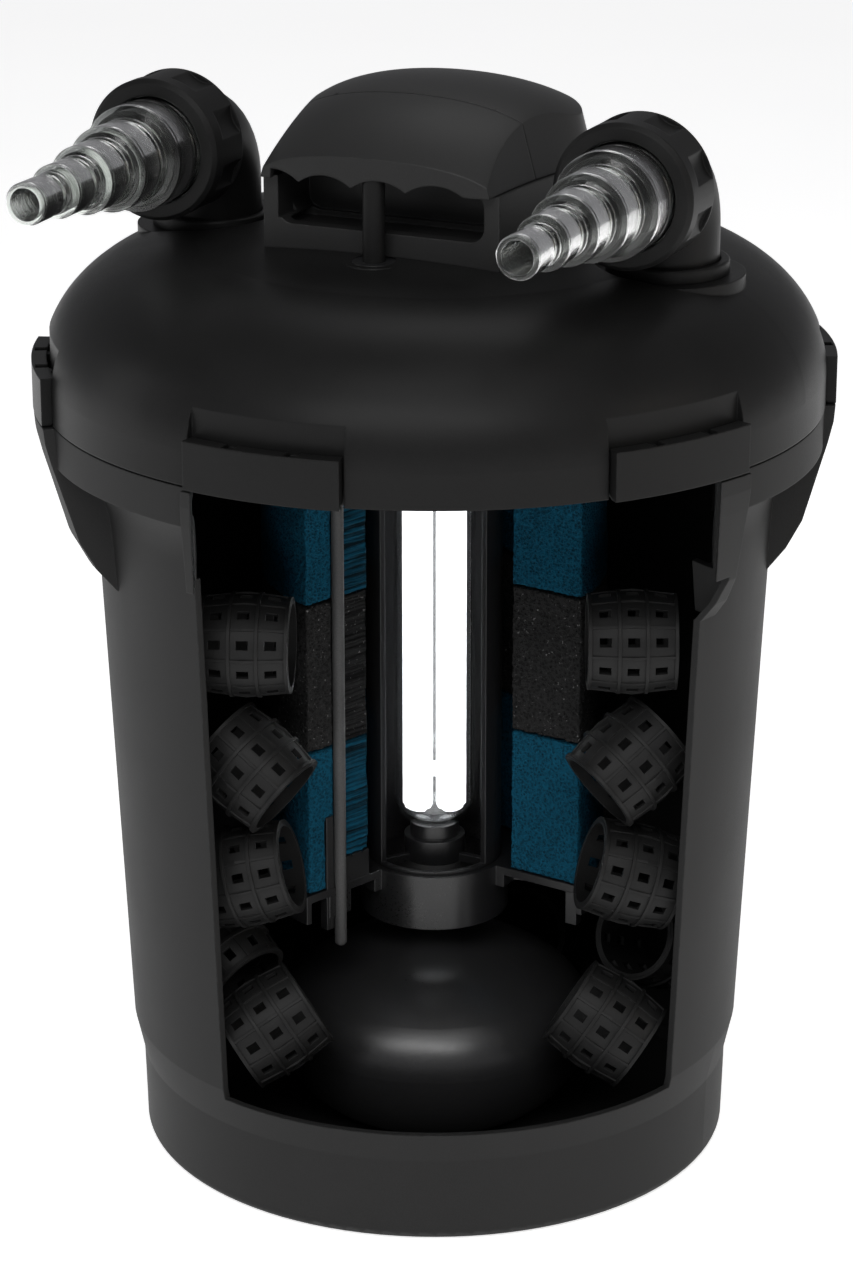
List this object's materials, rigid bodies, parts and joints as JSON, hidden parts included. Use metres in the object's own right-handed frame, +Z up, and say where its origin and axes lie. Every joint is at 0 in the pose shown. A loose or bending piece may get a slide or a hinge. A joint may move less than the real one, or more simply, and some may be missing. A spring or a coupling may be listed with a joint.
{
  "type": "pressurized pond filter",
  "caption": "Round black pressure filter with clipped domed lid, clear stepped hose tails, squeezable foam stack and UV lamp, shown sectioned.",
  "frame": {"origin": "centre of the base's underside, on the bucket's axis", "axes": "+Z up the bucket's axis, -Y the way the hose tails point, +X towards the outlet port"},
  "size_m": [0.371, 0.3808, 0.5275],
  "materials": {
    "body_black": "fine moulded grain",
    "lid_black": "satin moulded",
    "head_black": "satin moulded",
    "inner_black": "plain moulded",
    "media_black": "plain moulded",
    "foam_blue": "open-cell foam",
    "foam_charcoal": "coarse open-cell foam",
    "clear_plastic": "clear moulded",
    "quartz": "polished",
    "lamp_white": "glowing white glass",
    "lamp_cap": "plain moulded",
    "rod_grey": "grained",
    "steel": "plain",
    "seal_rubber": "smooth",
    "ballast_grey": "potted block"
  },
  "bodies": {
    "bucket": {"bucket": "body_black", "displacer_dome": "body_black", "bio_barrel_01": "media_black", "bio_barrel_02": "media_black", "bio_barrel_03": "media_black", "bio_barrel_04": "media_black", "bio_barrel_05": "media_black", "bio_barrel_06": "media_black", "bio_barrel_07": "media_black", "bio_barrel_08": "media_black", "bio_barrel_09": "media_black", "bio_barrel_10": "media_black", "bio_barrel_11": "media_black", "bio_barrel_12": "media_black"},
    "lid": {"lid": "lid_black", "lid_seal": "seal_rubber", "clip_pins": "steel", "foam_bottom": "foam_blue", "foam_middle": "foam_charcoal", "foam_top": "foam_blue", "top_plate": "inner_black", "uv_guard_tube": "inner_black", "sleeve_support": "inner_black", "quartz_sleeve": "quartz", "sleeve_seal": "seal_rubber", "sleeve_clamp": "inner_black", "uv_lamp": "lamp_white", "lamp_base": "lamp_cap", "lamp_socket": "lamp_cap", "outlet_duct": "inner_black", "rod_bush": "inner_black", "port_rings": "lid_black", "head_base": "head_black", "head_cover": "head_black", "head_screws": "steel", "cable_gland": "inner_black", "ballast": "ballast_grey"},
    "handle": {"handle": "head_black", "pull_rod": "lid_black", "crosshead": "inner_black", "tie_rods": "rod_grey", "rod_nuts": "steel", "carrier_plate": "inner_black"},
    "clip_1": {"clip_1": "lid_black"},
    "clip_2": {"clip_2": "lid_black"},
    "clip_3": {"clip_3": "lid_black"},
    "clip_4": {"clip_4": "lid_black"},
    "clip_5": {"clip_5": "lid_black"},
    "clip_6": {"clip_6": "lid_black"},
    "elbow_left": {"elbow_left": "lid_black", "elbow_seal_left": "seal_rubber", "gasket_left": "seal_rubber", "hose_adapter_left": "clear_plastic"},
    "union_nut_left": {"union_nut_left": "lid_black"},
    "elbow_right": {"elbow_right": "lid_black", "elbow_seal_right": "seal_rubber", "gasket_right": "seal_rubber", "hose_adapter_right": "clear_plastic"},
    "union_nut_right": {"union_nut_right": "lid_black"}
  },
  "joints": [
    {"name": "lid_lift", "type": "slide", "parent": "bucket", "child": "lid", "axis": [0, 0, 1], "range_m": [0, 0.3]},
    {"name": "handle_pull", "type": "slide", "parent": "lid", "child": "handle", "axis": [0, 0, 1], "range_m": [0, 0.06], "deforming": ["foam_bottom", "foam_middle", "foam_top"]},
    {"name": "clip_1_hinge", "type": "hinge", "parent": "lid", "child": "clip_1", "pos_m": [0, -0.1864, 0.3945], "axis": [-1, 0, 0], "range_deg": [0, 70]},
    {"name": "clip_2_hinge", "type": "hinge", "parent": "lid", "child": "clip_2", "pos_m": [0.16143, -0.0932, 0.3945], "axis": [-0.5, -0.866, 0], "range_deg": [0, 70]},
    {"name": "clip_3_hinge", "type": "hinge", "parent": "lid", "child": "clip_3", "pos_m": [0.16143, 0.0932, 0.3945], "axis": [0.5, -0.866, 0], "range_deg": [0, 70]},
    {"name": "clip_4_hinge", "type": "hinge", "parent": "lid", "child": "clip_4", "pos_m": [0, 0.1864, 0.3945], "axis": [1, 0, 0], "range_deg": [0, 70]},
    {"name": "clip_5_hinge", "type": "hinge", "parent": "lid", "child": "clip_5", "pos_m": [-0.16143, 0.0932, 0.3945], "axis": [0.5, 0.866, 0], "range_deg": [0, 70]},
    {"name": "clip_6_hinge", "type": "hinge", "parent": "lid", "child": "clip_6", "pos_m": [-0.16143, -0.0932, 0.3945], "axis": [-0.5, 0.866, 0], "range_deg": [0, 70]},
    {"name": "elbow_left_swivel", "type": "hinge", "parent": "lid", "child": "elbow_left", "pos_m": [-0.117, 0, 0.45], "axis": [0, 0, 1], "range_deg": [-105, 15]},
    {"name": "union_nut_left_spin", "type": "hinge", "parent": "elbow_left", "child": "union_nut_left", "pos_m": [-0.117, -0.045, 0.494], "axis": [0, -1, 0], "continuous": true},
    {"name": "elbow_right_swivel", "type": "hinge", "parent": "lid", "child": "elbow_right", "pos_m": [0.117, 0, 0.45], "axis": [0, 0, 1], "range_deg": [-15, 105]},
    {"name": "union_nut_right_spin", "type": "hinge", "parent": "elbow_right", "child": "union_nut_right", "pos_m": [0.117, -0.045, 0.494], "axis": [0, -1, 0], "continuous": true}
  ]
}
